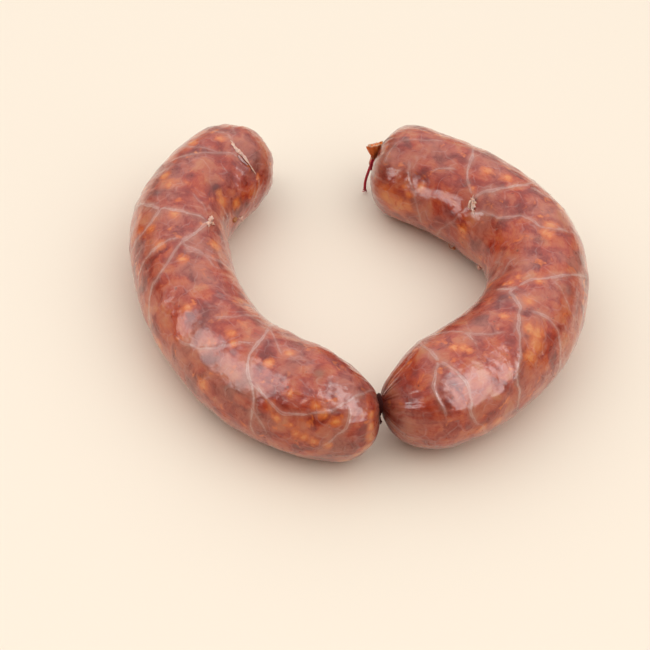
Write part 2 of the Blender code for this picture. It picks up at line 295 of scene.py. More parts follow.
def wanderingVeins(link):
    # veins of the sides that face away: each starts at a seeded place in that band,
    # heads off at a seeded slant, and turns a little at each step
    start, end = (14, neckRun - 12) if link == "left" else (neckRun + 12, totalRun - 12)
    dice = np.random.default_rng(11 if link == "left" else 23)
    count, steps = 15, 9
    along = dice.uniform(start, end, (count, 1))
    angle = np.linspace(100, 250, count)[:, None] + dice.uniform(-12, 12, (count, 1))
    heading = dice.uniform(0, fullTurn, (count, 1))
    heading = heading + np.cumsum(dice.normal(0, 0.32, (count, steps)), axis=1)
    along = along + np.cumsum(3.4 * np.cos(heading), axis=1)
    angle = angle + np.cumsum(11 * np.sin(heading), axis=1)
    return [(list(zip(a, t)), 0.5, 0.22) for a, t in zip(np.clip(along, start, end), angle)]


def veinTrack(places, link, phase):
    # spline through the listed places, about 0.35 mm apart, with a slow sideways sway
    places = np.array(places, float)
    run = runLengths(places * (1, 0.3))
    keep = np.r_[True, np.diff(run) > 1e-6]
    at = np.arange(0, run[-1], 0.35)
    line = naturalSpline(run[keep], places[keep], at)
    sway = 0.35 * np.sin(at / 2.3 + phase) + 0.2 * np.sin(at / 0.9 + 2 * phase)
    along = line[:, :1] + sway[:, None] * 0.6
    angle = np.radians(line[:, 1:] + sway[:, None] * 2.0)
    thin = 0.55 + 0.45 * np.cos(at / run[-1] * np.pi / 2)
    thin = thin * (1 + 0.22 * np.sin(at / 1.7 + 3 * phase))
    fade = ease(at / 2.5) * ease((run[-1] - at) / 4)
    return skinPoints(along, angle, link), thin, fade


def nearest(points, track, reach):
    # distance from each point to the track, where it is within reach, and which step
    flat = points.reshape(-1, 3)
    away, step = np.full(len(flat), np.inf), np.zeros(len(flat), int)
    low, high = track.min(axis=0) - reach, track.max(axis=0) + reach
    close = np.flatnonzero(((flat > low) & (flat < high)).all(axis=1))
    for chunk in np.array_split(close, max(1, len(close) * len(track) // 4000000)):
        gaps = flat[chunk][:, None] - track
        far = np.einsum("ijk,ijk->ij", gaps, gaps)
        step[chunk] = far.argmin(axis=1)
        away[chunk] = np.sqrt(far.min(axis=1))
    return away.reshape(points.shape[:2]), step.reshape(points.shape[:2])


link = {
    "stations": 384, "stubStations": 26, "sides": 226,
    "crowdEnds": 0.55,  # stations closer together at both ends
    "crowdTop": 0.3,  # points closer together on the upper side
    "pleats": 27, "pleatDepth": 0.16, "pleatReach": 9,  # fine folds by each tie
    "lumps": ((8.5, 0.09, 3), (2.4, 0.025, 5)),  # wave length, height, seed
    "evened": (15.5, 9.5, 4.0),  # middle, reach and spread of the evened out underside
    "veinSize": (0.88, 0.6),  # share of each vein's listed width and height
    "mapRound": 11.3,  # cm
}
spots = {  # along, degrees, half size in mm
    "fat": {
        "left": [
            (47, 19, 2.8), (43, 31, 2.4), (44, -47, 2.8), (42, -40, 2), (74, -36, 3.2), (72, 31, 2.8),
            (61, 9, 2.6), (64, 38, 2.2), (81, 10, 2.4), (118, 13, 2.2), (121, 19, 1.8), (149, 43, 2),
            (151, 50, 2), (154, 57, 2.2), (146, 77, 2), (148, 80, 2.1), (150, 83, 2.2), (153, 86, 2),
            (141, 67, 2), (119, 79, 3.2), (134, 18, 2.2), (137, -3, 2.4), (164, 52, 2), (164, 66, 2.4),
            (164, 80, 2.8), (163, 94, 3), (161, 108, 3), (158, 122, 3), (100, 30, 2), (92, 128, 3.6),
            (40, 150, 3.2), (130, 170, 3.8), (70, 200, 3), (110, 230, 3.4), (30, 250, 2.8),
            (36, -66, 2.8), (52, 90, 2.4), (98, 96, 2.4), (20, 6, 2.2), (26, 30, 2.4)],
        "right": [
            (334, -84, 4.4), (331, -89, 4.4), (327, -91, 4.2), (324, -87, 3.2), (329, -98, 3.8),
            (324, -71, 2), (320, -57, 2.2), (301, -2, 3), (294, 4, 2.6), (296, -79, 2.6), (265, 2, 3.4),
            (269, 9, 2.8), (237, -30, 1.6), (236, -35, 1.3), (221, 23, 3.4), (222, 31, 3.8), (219, 39, 4),
            (215, 45, 3.6), (218, -5, 2.2), (196, -7, 2.2), (198, -2, 2.2), (199, 4, 2), (230, 2, 2.4),
            (241, 0, 2), (200, 91, 2.8), (195, 92, 2.8), (250, 130, 3.6), (200, 160, 3.4),
            (290, 150, 3.6), (320, 190, 3), (230, 210, 3.6), (270, 235, 3), (310, 60, 2.4),
            (301, 46, 2.4), (278, 40, 2.6)]},
    "dark": {
        "left": [
            (41, -31, 3), (39, -84, 1.6), (50, 34, 1.8), (72, 84, 2), (60, 160, 2.4), (120, 200, 2.6),
            (148, 10, 2.2)],
        "right": [
            (226, -22, 3), (262, -8, 2), (190, 120, 2.6), (280, 200, 2.4), (244, 34, 2)]},
}


def spotMask(points, name, which):
    # for each spot exp(-(distance / half size)^2), and the highest of them is kept
    mask = np.zeros(points.shape[:2])
    for place, turn, size in spots[name][which]:
        away = np.linalg.norm(points - skinPoints(place, np.radians(turn), which), axis=-1)
        mask = np.maximum(mask, np.exp(-(away / size) ** 2))
    return mask


slits = {  # dark cuts in the casing: track, half width, depth
    "left": ([(21.2, -27), (21.2, -34), (20.7, -41)], 0.36, 0.5),
    "right": ([(296.6, -40), (296.2, -46), (295.0, -51)], 0.4, 0.3),
}
creases = {  # dark folds drawn in to each tie, with painted shade in their valleys, and painted shade that darkens the neck: share, reach in mm
    "depth": 0.7, "reach": 3.4, "count": 9, "power": 0.7, "shade": 1.7,
    "neckShade": ((1, 1.9), (0.25, 7)),
}


def stubRings(stub, centre, axis, angle):
    # sections carried from the tie out to the flared rim, pleated more and more, then
    # turned in over the rim to a hollow middle
    start = (*(string["neckHalf"] * axis), 0.9 * string["neckRadius"], stub["base"])
    knots = np.array([start, *stub["rows"]], float)
    knots[:, :3] += centre
    run = runLengths(knots[:, :3])
    curve = naturalSpline(run, knots, np.linspace(0, run[-1], link["stubStations"]))
    centres, neckSide = curve[:, :3], unit(np.cross(axis, (0, 0, 1)))
    out = (runLengths(centres) / run[-1])[:, None]
    tangent = unit(np.gradient(centres, axis=0))
    turning = ease((out - 0.35) / 0.65)
    side = unit(neckSide + (unit(stub["wide"]) - neckSide) * turning)
    side = unit(side - (side * tangent).sum(axis=1)[:, None] * tangent)
    up = np.cross(side, tangent)
    pleat = 1 + out * (0.16 * np.cos(8 * angle) + 0.05 * np.cos(21 * angle + 1))
    pleat = pleat + 0.03 * (1 - out) * np.cos(16 * angle)
    rings = carried(centres, side, up, curve[:, 3:4] * pleat * np.sin(angle),
                    curve[:, 4:5] * pleat * np.cos(angle))
    ragged = 0.5 * np.sin(3 * angle + 1) * np.cos(2 * angle) + 0.16 * np.sin(11 * angle)
    rings[-1] = rings[-1] + ragged[:, None] * tangent[-1]
    middle = rings[-1].mean(axis=0)
    lip = [middle + (rings[-1] - middle) * share - tangent[-1] * sink
           for share, sink, _ in stubs["lip"]]
    return np.concatenate([rings, lip])


stubs = {  # rows: centre from the middle of the tie, half width, half height
    "left": {"rows": [(1.1, 1.7, -0.6, 2.4, 1.8), (1.7, 3.3, -1.9, 2.6, 1.3),
                      (1.9, 4.9, -3.9, 3.4, 1.2)], "wide": (-0.9, 0.4, 0.1), "base": 2.2},
    "right": {"rows": [(-0.6, 0.1, 0.9, 2.0, 1.0), (-0.4, 0.1, 2.7, 2.2, 1.0),
                       (-0.1, 0.4, 5.2, 3.1, 1.1), (-0.1, 1.0, 8.1, 3.7, 1.1)],
              "wide": (0.85, 0.53, 0), "base": 1.0},
    # rings inside the rim: share of its size, depth, inside colour; then the dry rim's rings
    "lip": ((0.93, 0.03, 0.2), (0.86, 0.25, 0.75), (0.72, 0.55, 1), (0.45, 0.6, 1), (0.18, 0.45, 1)),
    "dryRim": (0.35, 0.8, 0.9),
}


def tieFrame(which):
    # middle of a tie, and the way the string runs out through it
    at = np.array([{"end_tie_left": 0, "neck_tie": neckRun, "end_tie_right": totalRun}[which]])
    centre, axis = spineAt("centre", at)[0], unit(spineAt("tangent", at)[0])
    return centre, (-axis if which == "end_tie_left" else axis)


def evenedOut(points, along, angle, place, reach, spread):
    # shifts that even out the underside where the string turns up to its tie and its
    # sections would cross: a Gaussian mean along the string, less the point itself,
    # times exp(-(distance / reach)^4), and times -1.6 cosine, kept between 0 and 1
    gap = np.gradient(along[:, 0])
    share = np.exp(-0.5 * ((along - along.T) / spread) ** 2) * gap
    mean = np.tensordot(share / share.sum(axis=1, keepdims=True), points, 1)
    weight = np.exp(-((along - place) / reach) ** 4) * np.clip(-1.6 * np.cos(angle), 0, 1)
    return weight[..., None] * (mean - points)


def makeLink(which):
    start, end = linkSpan[which]
    q = np.linspace(0, 1, link["stations"])[:, None]
    along = start + (end - start) * (q - link["crowdEnds"] * np.sin(fullTurn * q) / fullTurn)
    u = turnAngles(link["sides"])[None, :]
    angle = u - link["crowdTop"] * np.sin(u)
    radius, fullness = linkRadius(along, angle, which)
    points = surfacePoints(along, angle, radius)
    shift = evenedOut(points, along, angle, *link["evened"])

    # filling seen through the skin: lumps and grain, none at the necks
    rise = sum(high * waves(points, long, seed) for long, high, seed in link["lumps"]) * fullness

    # fine folds run in to each tie and fade away from it
    ends = np.minimum(along - start, end - along)
    folds = np.cos(link["pleats"] * angle + 1.3 * np.sin(3 * angle) + along / 7)
    folds = folds + 0.6 * np.cos(1.7 * link["pleats"] * angle - 2 * np.sin(2 * angle))
    rise = rise + link["pleatDepth"] * folds * np.exp(-ends / link["pleatReach"]) * fullness

    # veins: a ridge exp(-(distance / width)^2), and the distance in widths is kept for
    # the colour, with how pale the nearest vein is
    ridge = np.zeros(points.shape[:2])
    veinAway, veinPale = np.full(points.shape[:2], 9.0), np.zeros(points.shape[:2])
    for number, (places, width, height) in enumerate(veins[which] + wanderingVeins(which)):
        track, thin, fade = veinTrack(places, which, number)
        away, step = nearest(points, track, 6)
        away = np.minimum(away / (link["veinSize"][0] * width * thin[step]), 9)
        ridge = np.maximum(ridge, link["veinSize"][1] * height * fade[step] * np.exp(-away ** 2))
        pale = fade[step] * min(height / 0.36, 1)
        veinPale = np.where(away < veinAway, pale, veinPale)
        veinAway = np.minimum(away, veinAway)
    places, width, depth = slits[which]
    slit = np.exp(-(nearest(points, veinTrack(places, which, 0.4)[0], 5)[0] / width) ** 2)
    rise = rise + ridge - depth * slit

    # creases: valleys where |sin| of half the count times a bent angle falls to zero
    bentAngle = angle + 0.16 * np.sin(2 * angle + 0.7) + 0.09 * np.sin(5 * angle)
    valley = 1 - np.abs(np.sin(creases["count"] / 2 * bentAngle)) ** creases["power"]
    valley = valley * (0.7 + 0.3 * np.sin(3 * angle + 2)) * np.exp(-ends / creases["reach"]) * fullness
    rise = rise - creases["depth"] * valley

    points = surfacePoints(along, angle, radius + rise) + shift
    # painted shade: the colour darkens close to each tie and in the crease valleys, where shade falls
    tight = sum(share * np.exp(-ends / reach) for share, reach in creases["neckShade"])
    tight = tight + creases["shade"] * valley
    none = np.zeros(points.shape[:2])
    masks = {"veinAway": veinAway, "veinPale": veinPale, "slit": slit, "tight": tight,
             "fat": spotMask(points, "fat", which), "dark": spotMask(points, "dark", which),
             "stub": none, "inside": none, "crumb": none}

    # gathered casing beyond the far tie: the left link starts with it, the right ends with it
    order = -1 if which == "left" else 1
    centre, axis = tieFrame("end_tie_" + which)
    rings, lipRows = stubRings(stubs[which], centre, axis, order * angle[0]), len(stubs["lip"])
    added = {name: np.zeros(rings.shape[:2]) for name in masks}
    added["veinAway"][:] = 9
    added["stub"][:] = 1
    # painted shade on the gathered casing, darkest next to the tie
    added["tight"][:] = np.exp(-np.arange(len(rings)) / 2)[:, None]
    added["inside"][-lipRows:] = np.array(stubs["lip"])[:, 2:]
    added["crumb"][-lipRows - 2:-lipRows + 1] = np.array(stubs["dryRim"])[:, None]
    points = np.concatenate([points[::order], rings])[::order]
    masks = {k: np.concatenate([masks[k][::order], added[k]])[::order] for k in masks}
    points[..., 2] = np.maximum(points[..., 2], 0)

    # a map in cm along and round, for the streaks
    sides = link["sides"]
    runDown = runLengths(points.mean(axis=1)) / 10
    around = np.linspace(0, link["mapRound"], sides + 1)
    row, col = np.divmod(np.arange((len(points) - 1) * sides), sides)
    uv = np.stack([runDown[np.stack([row, row, row + 1, row + 1], -1)],
                   around[np.stack([col, col + 1, col + 1, col], -1)]], -1).reshape(-1, 2)
    uv = np.concatenate([uv, np.zeros((2 * 3 * sides, 2))])  # three corners of each fan face
    masks = {k: np.append(v.ravel(), [v[0].mean(), v[-1].mean()]) for k, v in masks.items()}
    return makeMesh(which + "_link", *tubeMesh(points), masks, uv)


links = [makeLink("left"), makeLink("right")]


# twine: three strands twisted round each path

twine = {
    "strand": 0.245, "offset": 0.225, "pitch": 2.6, "strandSides": 8, "step": 0.16,
    "turnShifts": (-0.25, 0.3), "knotSize": (0.78, 0.42, 0.52), "knotLift": 0.85,
    "fray": 1.6, "frayLength": 1.6, "looseSwell": 1.2,
    "ties": {
        # each soaked value is the share of a dark colour, partly wet twine and partly painted shade, most
        # on the neck tie between the links
        "neck_tie": {
            "knotAngle": 160, "turns": (2.7, 3.0), "soakedAndShaded": 1.0,
            "tails": [[(0.5, -0.9, -1.2), (0.9, -1.0, -2.6), (1.0, -0.6, -3.8)],
                      [(0.2, -1.1, -1.1), (-0.2, -1.5, -2.2), (0.1, -1.6, -3.2)]]},
        "end_tie_left": {
            "knotAngle": 180, "turns": (3.1, 3.7), "soakedAndShaded": 0.3,
            "tails": [[(0.8, 0.9, -0.6), (2.2, 2.6, -1.4), (3.3, 4.4, -2.6)],
                      [(-1.6, 0.2, -0.6), (-3.3, 1.2, -1.6), (-4.6, 2.6, -2.3)]]},
        "end_tie_right": {
            "knotAngle": 90, "turns": (2.75, 3.1), "soakedAndShaded": 0.05,
            "tails": [[(-1.0, -0.5, -1.2), (-2.0, -2.2, -3.2), (-2.7, -3.8, -6.0),
                       (-3.2, -4.2, -10.5), (-2.9, -4.6, -15.0)],
                      [(0.9, 1.3, -1.1), (1.4, 2.3, -2.6), (1.2, 2.9, -4.0)]]}},
}


def carriedFrame(path, closed):
    # two directions square to the path that don't spin along it
    tangent = unit(np.roll(path, -1, 0) - np.roll(path, 1, 0) if closed else np.gradient(path, axis=0))
    sides = [np.cross(tangent[0], (0.31, 0.17, 0.94))]
    for t in tangent[1:]:
        sides.append(sides[-1] - (sides[-1] @ t) * t)
    sides = unit(np.array(sides))
    return sides, unit(np.cross(tangent, sides))


def strands(path, closed=False):
    # each strand is a round tube on a helix about the path; where the twine is cut the
    # helices open out, and untied lengths swell a little
    knots = np.vstack([path, path[:1]]) if closed else path
    run = runLengths(knots)
    count = max(12, int(run[-1] / twine["step"]))
    at = np.linspace(0, run[-1], count, endpoint=not closed)
    turns, opening, fatter = run[-1] / twine["pitch"], np.zeros(count), 1
    if closed:
        fine = np.stack([np.interp(at, run, column) for column in knots.T], -1)
        turns = max(1, round(turns))
    else:
        fine = naturalSpline(run, knots, at)
        opening = ease((at - run[-1] + twine["frayLength"]) / twine["frayLength"])
        fatter = twine["looseSwell"]
    side, up = carriedFrame(fine, closed)
    made, angle = [], turnAngles(twine["strandSides"])
    for number in range(3):
        twist = fullTurn * (turns * at / run[-1] + number / 3)
        spread = fatter * twine["offset"] * (1 + twine["fray"] * opening)
        middle = fine + (spread * np.cos(twist))[:, None] * side
        middle = middle + (spread * np.sin(twist))[:, None] * up
        size = fatter * twine["strand"] * (1 - 0.35 * opening)
        size = (size * (1 + 0.06 * np.sin(at * 9 + number)))[:, None]
        rings = carried(middle, *carriedFrame(middle, closed), size * np.cos(angle), size * np.sin(angle))
        made.append(tubeMesh(rings, closed))
    return made


def makeTie(name):
    details = twine["ties"][name]
    centre, axis = tieFrame(name)
    side = unit(np.cross(axis, (0, 0, 1)))
    up, turned = np.cross(side, axis), np.radians(details["knotAngle"])
    outward = np.cos(turned) * up + np.sin(turned) * side
    knotAt = centre + (details["turns"][1] + twine["knotLift"]) * outward
    t = turnAngles(120)[:, None]
    parts = []
    for radius, shift in zip(details["turns"], twine["turnShifts"]):
        circle = centre + shift * axis + radius * (np.cos(t) * up + np.sin(t) * side)
        parts += strands(circle, closed=True)
    # knot: a three-lobed closed loop that crosses over and under itself
    size = twine["knotSize"]
    loop = knotAt + size[0] * (np.sin(t) + 1.2 * np.sin(2 * t)) / 1.6 * np.cross(axis, outward)
    loop = loop + size[1] * (np.cos(t) - 1.2 * np.cos(2 * t)) / 1.4 * axis
    parts += strands(loop - size[2] * np.sin(3 * t) * outward, closed=True)
    for steps in details["tails"]:
        parts += strands(np.vstack([knotAt, knotAt + np.array(steps, float)]))
    return joinedPiece(name + "_twine", parts, "soakedAndShaded", [details["soakedAndShaded"]] * len(parts))


ties = {name: makeTie(name) for name in twine["ties"]}


# dried scraps of casing that stand on the links: knobs and crumbs are lumpy closed balls,
# and torn threads are flat twisted tubes

scraps = {
    # knob: along, degrees, half sizes (along, round, out), lift, darkness
    "knobs": {
        "left": [
            (61.2, -34, (1.3, 0.7, 0.6), 0.2, 0.2), (63.6, -31.5, (1.0, 0.7, 0.5), 0.15, 0.1),
            (59.6, -36.5, (0.9, 0.6, 0.5), 0.15, 0.15), (62.3, -38, (0.6, 0.6, 0.4), 0.1, 0.5),
            (34.2, -90, (0.9, 0.45, 0.4), 0.25, 0.0), (40.6, -82, (1.3, 0.9, 0.4), 0.0, 1.0)],
        "right": [
            (297.6, -43, (1.2, 0.8, 0.5), 0.15, 0.35), (296.6, -48, (1.3, 0.9, 0.55), 0.15, 0.2),
            (298.2, -47, (0.5, 0.5, 0.4), 0.1, 0.1), (295.2, -52, (0.5, 0.5, 0.3), 0.1, 0.3),
            (300.4, -124, (0.55, 0.5, 0.45), 0.35, 0.9), (281.5, -118, (0.8, 0.7, 0.5), 0.3, 0.2)]},
    # thread: places, half width, half thickness, lift in the middle, twist, darkness
    "threads": {
        "left": [
            ([(18.3, -5), (19.2, -12), (20, -20), (19.9, -29), (20, -38), (19.9, -45), (19.3, -55)],
             0.62, 0.17, 0.4, 0.2, 0.12),
            ([(37.2, -84), (35, -91), (31.5, -97)], 0.28, 0.14, 0.8, 0.4, 0.1)],
        "right": [
            ([(298.9, -37), (298, -42), (296.7, -47), (295.2, -52), (293.4, -56)],
             0.42, 0.15, 0.6, 0.6, 0.0),
            ([(296.6, -42), (298.3, -45), (297.9, -49), (296, -53)], 0.35, 0.13, 0.7, -0.5, 0.1),
            ([(299.6, -126), (301.4, -122), (303.4, -119)], 0.2, 0.14, 0.9, 0.3, 0.8)]},
    "ballRows": 22, "ballSides": 28, "threadRows": 90, "threadSides": 14,
}


def knobMesh(place, turn, sizes, lift, which, seed):
    # a ball times 1 + waves, stretched to the half sizes along, round and out of the skin
    v = np.linspace(0.06, np.pi - 0.06, scraps["ballRows"])[:, None]
    u = turnAngles(scraps["ballSides"])
    ball = np.stack([np.sin(v) * np.cos(u), np.sin(v) * np.sin(u), np.cos(v) + 0 * u], -1)
    ball = ball * (1 + 0.2 * waves(ball, 1.3, seed) + 0.11 * waves(ball, 0.6, seed + 1))[..., None]
    turn = np.radians(turn)
    point = skinPoints(place, turn, which)[0]
    along = unit(skinPoints(place + 0.5, turn, which)[0] - point)
    around = unit(skinPoints(place, turn + 0.02, which)[0] - point)
    out = unit(np.cross(around, along))
    basis = np.array(sizes)[:, None] * (along, around, out)
    return tubeMesh(point + lift * out + ball @ basis)


def threadMesh(places, width, thick, lift, twist, which):
    # an ellipse carried along the places, thin at both ends, turned as it goes, and lifted
    # off the skin by sin^2 between its ends
    knots = np.array(places, float)
    run = runLengths(knots * (1, 0.3))
    share = np.linspace(0, 1, scraps["threadRows"])
    line = naturalSpline(run, knots, share * run[-1])
    low, high = (skinPoints(line[:, 0], np.radians(line[:, 1]), which, off) for off in (0, 1))
    middle = low + (high - low) * (0.1 + lift * np.sin(np.pi * share) ** 2)[:, None]
    tangent = unit(np.gradient(middle, axis=0))
    side = unit(np.cross(tangent, unit(high - low)))
    taper = (ease(share * 7) * 0.75 + 0.25) * (ease((1 - share) * 4) * 0.8 + 0.2)
    wide = width * taper * (1 + 0.22 * np.sin(share * 23) + 0.12 * np.sin(share * 61))
    spin = fullTurn * twist * (share - 0.5) + 0.5 * np.sin(share * 11)
    u = turnAngles(scraps["threadSides"])
    flat, tall = wide[:, None] * np.cos(u), thick * taper[:, None] * np.sin(u)
    across = flat * np.cos(spin)[:, None] - tall * np.sin(spin)[:, None]
    over = flat * np.sin(spin)[:, None] + tall * np.cos(spin)[:, None]
    return tubeMesh(carried(middle, side, np.cross(side, tangent), across, over)[:, ::-1])


def makeScraps(which):
    knobs, threads = scraps["knobs"][which], scraps["threads"][which]
    parts = [knobMesh(*knob[:4], which, 31 + 2 * number) for number, knob in enumerate(knobs)]
    parts += [threadMesh(*thread[:5], which) for thread in threads]
    return joinedPiece(which + "_scraps", parts, "dried", [part[-1] for part in knobs + threads])


loose = [makeScraps("left"), makeScraps("right")]


# materials

def toLinear(code):
    # sRGB hex to linear: c / 12.92 below 0.04045, else ((c + 0.055) / 1.055) ^ 2.4
    values = np.array([int(code[i:i + 2], 16) / 255 for i in (1, 3, 5)])
    linear = np.where(values <= 0.04045, values / 12.92, ((values + 0.055) / 1.055) ** 2.4)
    return (*linear.tolist(), 1)


def fillInputs(node, inputs):
    # each input takes a value, a hex colour or another node's output
    for key, value in inputs.items() if isinstance(inputs, dict) else enumerate(inputs):
        if isinstance(value, bpy.types.NodeSocket):
            node.id_data.links.new(value, node.inputs[key])
        else:
            node.inputs[key].default_value = toLinear(value) if isinstance(value, str) else value


def addNode(tree, kind, inputs, output=0, stops=(), **settings):
    # adds one node with its settings and links, and gives back the output that is wanted
    node = tree.nodes.new("ShaderNode" + kind)
    for key, value in settings.items():
        setattr(node, key, value)
    if stops:
        ramp = node.color_ramp.elements
        for _ in stops[2:]:
            ramp.new(0.5)
        for element, (place, colour) in zip(ramp, stops):
            element.position, element.color = place, toLinear(colour)
    fillInputs(node, inputs)
    return node.outputs[output]


def newMaterial(name):
    # a material, its shader, how a node is added to it, and Object coordinates in mm
    material = bpy.data.materials.new(name)
    material.use_nodes = True
    add = partial(addNode, material.node_tree)
    place = add("TexCoord", (), "Object")
    inMm = add("Mapping", {"Vector": place, "Scale": (1 / mm, 1 / mm, 1 / mm)})
    return material, material.node_tree.nodes["Principled BSDF"], add, inMm


smooth = {"interpolation_type": "SMOOTHSTEP"}
colourMix = {"data_type": "RGBA", "output": 2}  # inputs 0, 6 and 7: share, under, over

casing = {
    "meat": [(0.26, "#761d0e"), (0.41, "#922812"), (0.53, "#a93918"), (0.66, "#b84f1f"),
             (0.82, "#c4682a")],
    "fatRim": "#cf6424", "fatCore": "#de9a58", "dark": "#5a2a26", "film": "#b07a66",
    # neck: colour of the painted shade by the ties and in the crease valleys
    "vein": "#c4a298", "crumb": "#d8c09c", "slit": "#5c170f", "neck": "#4c120c",
    "inside": "#dc7c34", "stub": "#de7230", "speck": "#4e1810",
    "noise": {  # scale per mm, detail, roughness
        "mottle": (0.17, 4.0, 0.52), "grain": (0.5, 4.0, 0.6), "pieces": (0.21, 2.5, 0.5),
        "cloud": (0.085, 6.0, 0.68), "waver": (0.9, 3.0, 0.6), "dimple": (0.7, 4.0, 0.55)},
    "roughness": (0.25, 0.38),
    "shader": {
        "IOR": 1.28, "Coat Weight": 1.0, "Coat Roughness": 0.09, "Coat IOR": 1.43,
        "Sheen Weight": 0.07, "Sheen Roughness": 0.35, "Sheen Tint": "#c4a8a8",
        "Subsurface Weight": 0.2, "Subsurface Radius": (1.0, 0.35, 0.22),
        "Subsurface Scale": 0.0014},
}


def casingMaterial():
    # coarse ground, cured pork in a stuffed natural hog casing: red lean and orange fat
    # show through a cloudy, wet skin with pale veins
    material, shader, add, inMm = newMaterial("stuffed_hog_casing_over_cured_pork")
    mask = {name: add("Attribute", (), "Fac", attribute_name=name)
            for name in ("veinAway", "veinPale", "crumb", "slit", "tight", "fat", "dark", "stub",
                         "inside")}
    # coordinates bent by about 2 mm, so that no pattern keeps straight edges
    bend = add("TexNoise", {"Vector": inMm, "Scale": 0.13, "Detail": 2.0, "Roughness": 0.5}, "Color")
    bend = add("VectorMath", [bend, (0.5, 0.5, 0.5)], operation="SUBTRACT")
    bent = add("VectorMath", [bend, (7, 7, 7), inMm], operation="MULTIPLY_ADD")
    noise = {name: add("TexNoise", {"Vector": inMm if name in ("waver", "dimple") else bent,
                                    "Scale": scale, "Detail": detail, "Roughness": rough})
             for name, (scale, detail, rough) in casing["noise"].items()}

    # lean meat: soft 5 mm chunks, each with a tone of its own, 6 mm mottling, and faint
    # streaks of 4 mm by 0.7 mm that run along the string
    chunk = add("TexVoronoi", {"Vector": bent, "Scale": 0.19, "Smoothness": 0.45}, "Color",
                feature="SMOOTH_F1")
    chunk = add("SeparateColor", [chunk])
    run = add("Mapping", {"Vector": add("UVMap", (), uv_map="run"), "Scale": (2.4, 14, 1)})
    streak = add("TexNoise", {"Vector": run, "Scale": 1.0, "Detail": 4.0, "Roughness": 0.6},
                 noise_dimensions="2D")
    tone = add("Math", [streak, 0.2, noise["mottle"]], operation="MULTIPLY_ADD")
    tone = add("Math", [chunk, 0.28, tone], operation="MULTIPLY_ADD")
    tone = add("Math", [tone, 0.24], operation="SUBTRACT")
    meat = add("ValToRGB", [tone], stops=casing["meat"])

    # fat: soft pieces of 2 to 6 mm, an orange rim round a yellower core
    fat = add("MapRange", [noise["pieces"], 0.55, 0.76, 0.0, 0.8], **smooth)
    fat = add("Math", [mask["fat"], fat], operation="MAXIMUM")
    uneven = add("MapRange", [noise["grain"], 0.3, 0.7, -0.26, 0.2])
    fat = add("Math", [fat, uneven], operation="ADD")
    rim = add("MapRange", [fat, 0.15, 0.85, 0.0, 0.8], **smooth)
    core = add("MapRange", [fat, 0.62, 1.2, 0.0, 0.8], **smooth)

    # small specks of spice, in about one cell of six
    speck = add("TexVoronoi", {"Vector": bent, "Scale": 0.5}, "Distance")
    few = add("SeparateColor", [speck.node.outputs["Color"]])
    few = add("Math", [few, 0.84], operation="GREATER_THAN")
    speck = add("MapRange", [speck, 0.1, 0.26, 0.6, 0.0], **smooth)
    speck = add("Math", [speck, few], operation="MULTIPLY")

    # cloudy skin: soft patches of 12 mm with wisps in them
    cloud = add("MapRange", [noise["cloud"], 0.4, 0.66, 0.03, 0.47], **smooth)

    # veins: a soft band out to 1.7 widths, with a thin pale line 0.8 widths to each side
    # of the middle, both roughened by noise in the distance, and a wide faint halo
    away = add("Math", [noise["waver"], 1.3, mask["veinAway"]], operation="MULTIPLY_ADD")
    away = add("Math", [away, 0.65], operation="SUBTRACT")
    halo = add("MapRange", [away, 0.6, 5.0, 0.34, 0.0], **smooth)
    film = add("Math", [halo, mask["veinPale"], cloud], operation="MULTIPLY_ADD")
    band = add("MapRange", [away, 0.2, 1.7, 0.3, 0.0], **smooth)
    edge = add("Math", [away, 0.8], operation="SUBTRACT")
    edge = add("Math", [edge], operation="ABSOLUTE")
    edge = add("MapRange", [edge, 0.05, 0.4, 0.44, 0.0], **smooth)
    worn = add("MapRange", [noise["mottle"], 0.4, 0.6, 0.2, 1.0], **smooth)
    edge = add("Math", [edge, worn], operation="MULTIPLY")
    vein = add("Math", [band, edge], operation="ADD")
    vein = add("Math", [vein, mask["veinPale"]], operation="MULTIPLY")

    # hair veins: a net of 9 mm cells with lines 0.4 mm wide, mostly faded out
    net = add("TexVoronoi", {"Vector": bent, "Scale": 0.11}, "Distance", feature="DISTANCE_TO_EDGE")
    net = add("MapRange", [net, 0.0, 0.045, 0.17, 0.0], **smooth)
    broken = add("MapRange", [noise["pieces"], 0.42, 0.6, 1.0, 0.0], **smooth)
    net = add("Math", [net, broken], operation="MULTIPLY")
    vein = add("Math", [vein, net], operation="MAXIMUM")

    # colours laid over the meat, from within outwards: where, how much, which; fat that presses against
    # the skin keeps its colour through the film; the neck colour is painted shade by the ties and in the
    # crease valleys
    colour = meat
    for share, most, key in (
            (rim, 1, "fatRim"), (core, 1, "fatCore"), (mask["dark"], 0.65, "dark"),
            (speck, 1, "speck"), (film, 1, "film"), (rim, 0.5, "fatRim"), (core, 0.42, "fatCore"),
            (vein, 1, "vein"), (mask["slit"], 0.85, "slit"), (mask["stub"], 0.7, "stub"),
            (mask["tight"], 0.75, "neck"), (mask["inside"], 0.9, "inside"),
            (mask["crumb"], 0.95, "crumb")):
        if most < 1:
            share = add("Math", [share, most], operation="MULTIPLY")
        colour = add("Mix", {0: share, 6: colour, 7: casing[key]}, **colourMix)

    # gloss: wet skin, a little duller where the grain is coarse; relief: 1.4 mm dimples
    # and the streaks
    duller = add("MapRange", [noise["grain"], 0.3, 0.7, *casing["roughness"]])
    relief = add("Math", [streak, 0.5, noise["dimple"]], operation="MULTIPLY_ADD")
    bump = add("Bump", {"Strength": 0.8, "Distance": 0.00011, "Height": relief})
    fillInputs(shader, {"Base Color": colour, "Roughness": duller, "Normal": bump,
                        "Coat Normal": bump, **casing["shader"]})
    return material


twineLook = {
    # soaked: dark colour of wet twine, also used as painted shade on the neck tie
    "high": "#d84854", "low": "#8a1824", "fibre": "#be3040", "soakedAndShaded": "#3e0c06",
    "shader": {"Specular IOR Level": 0.25},
}


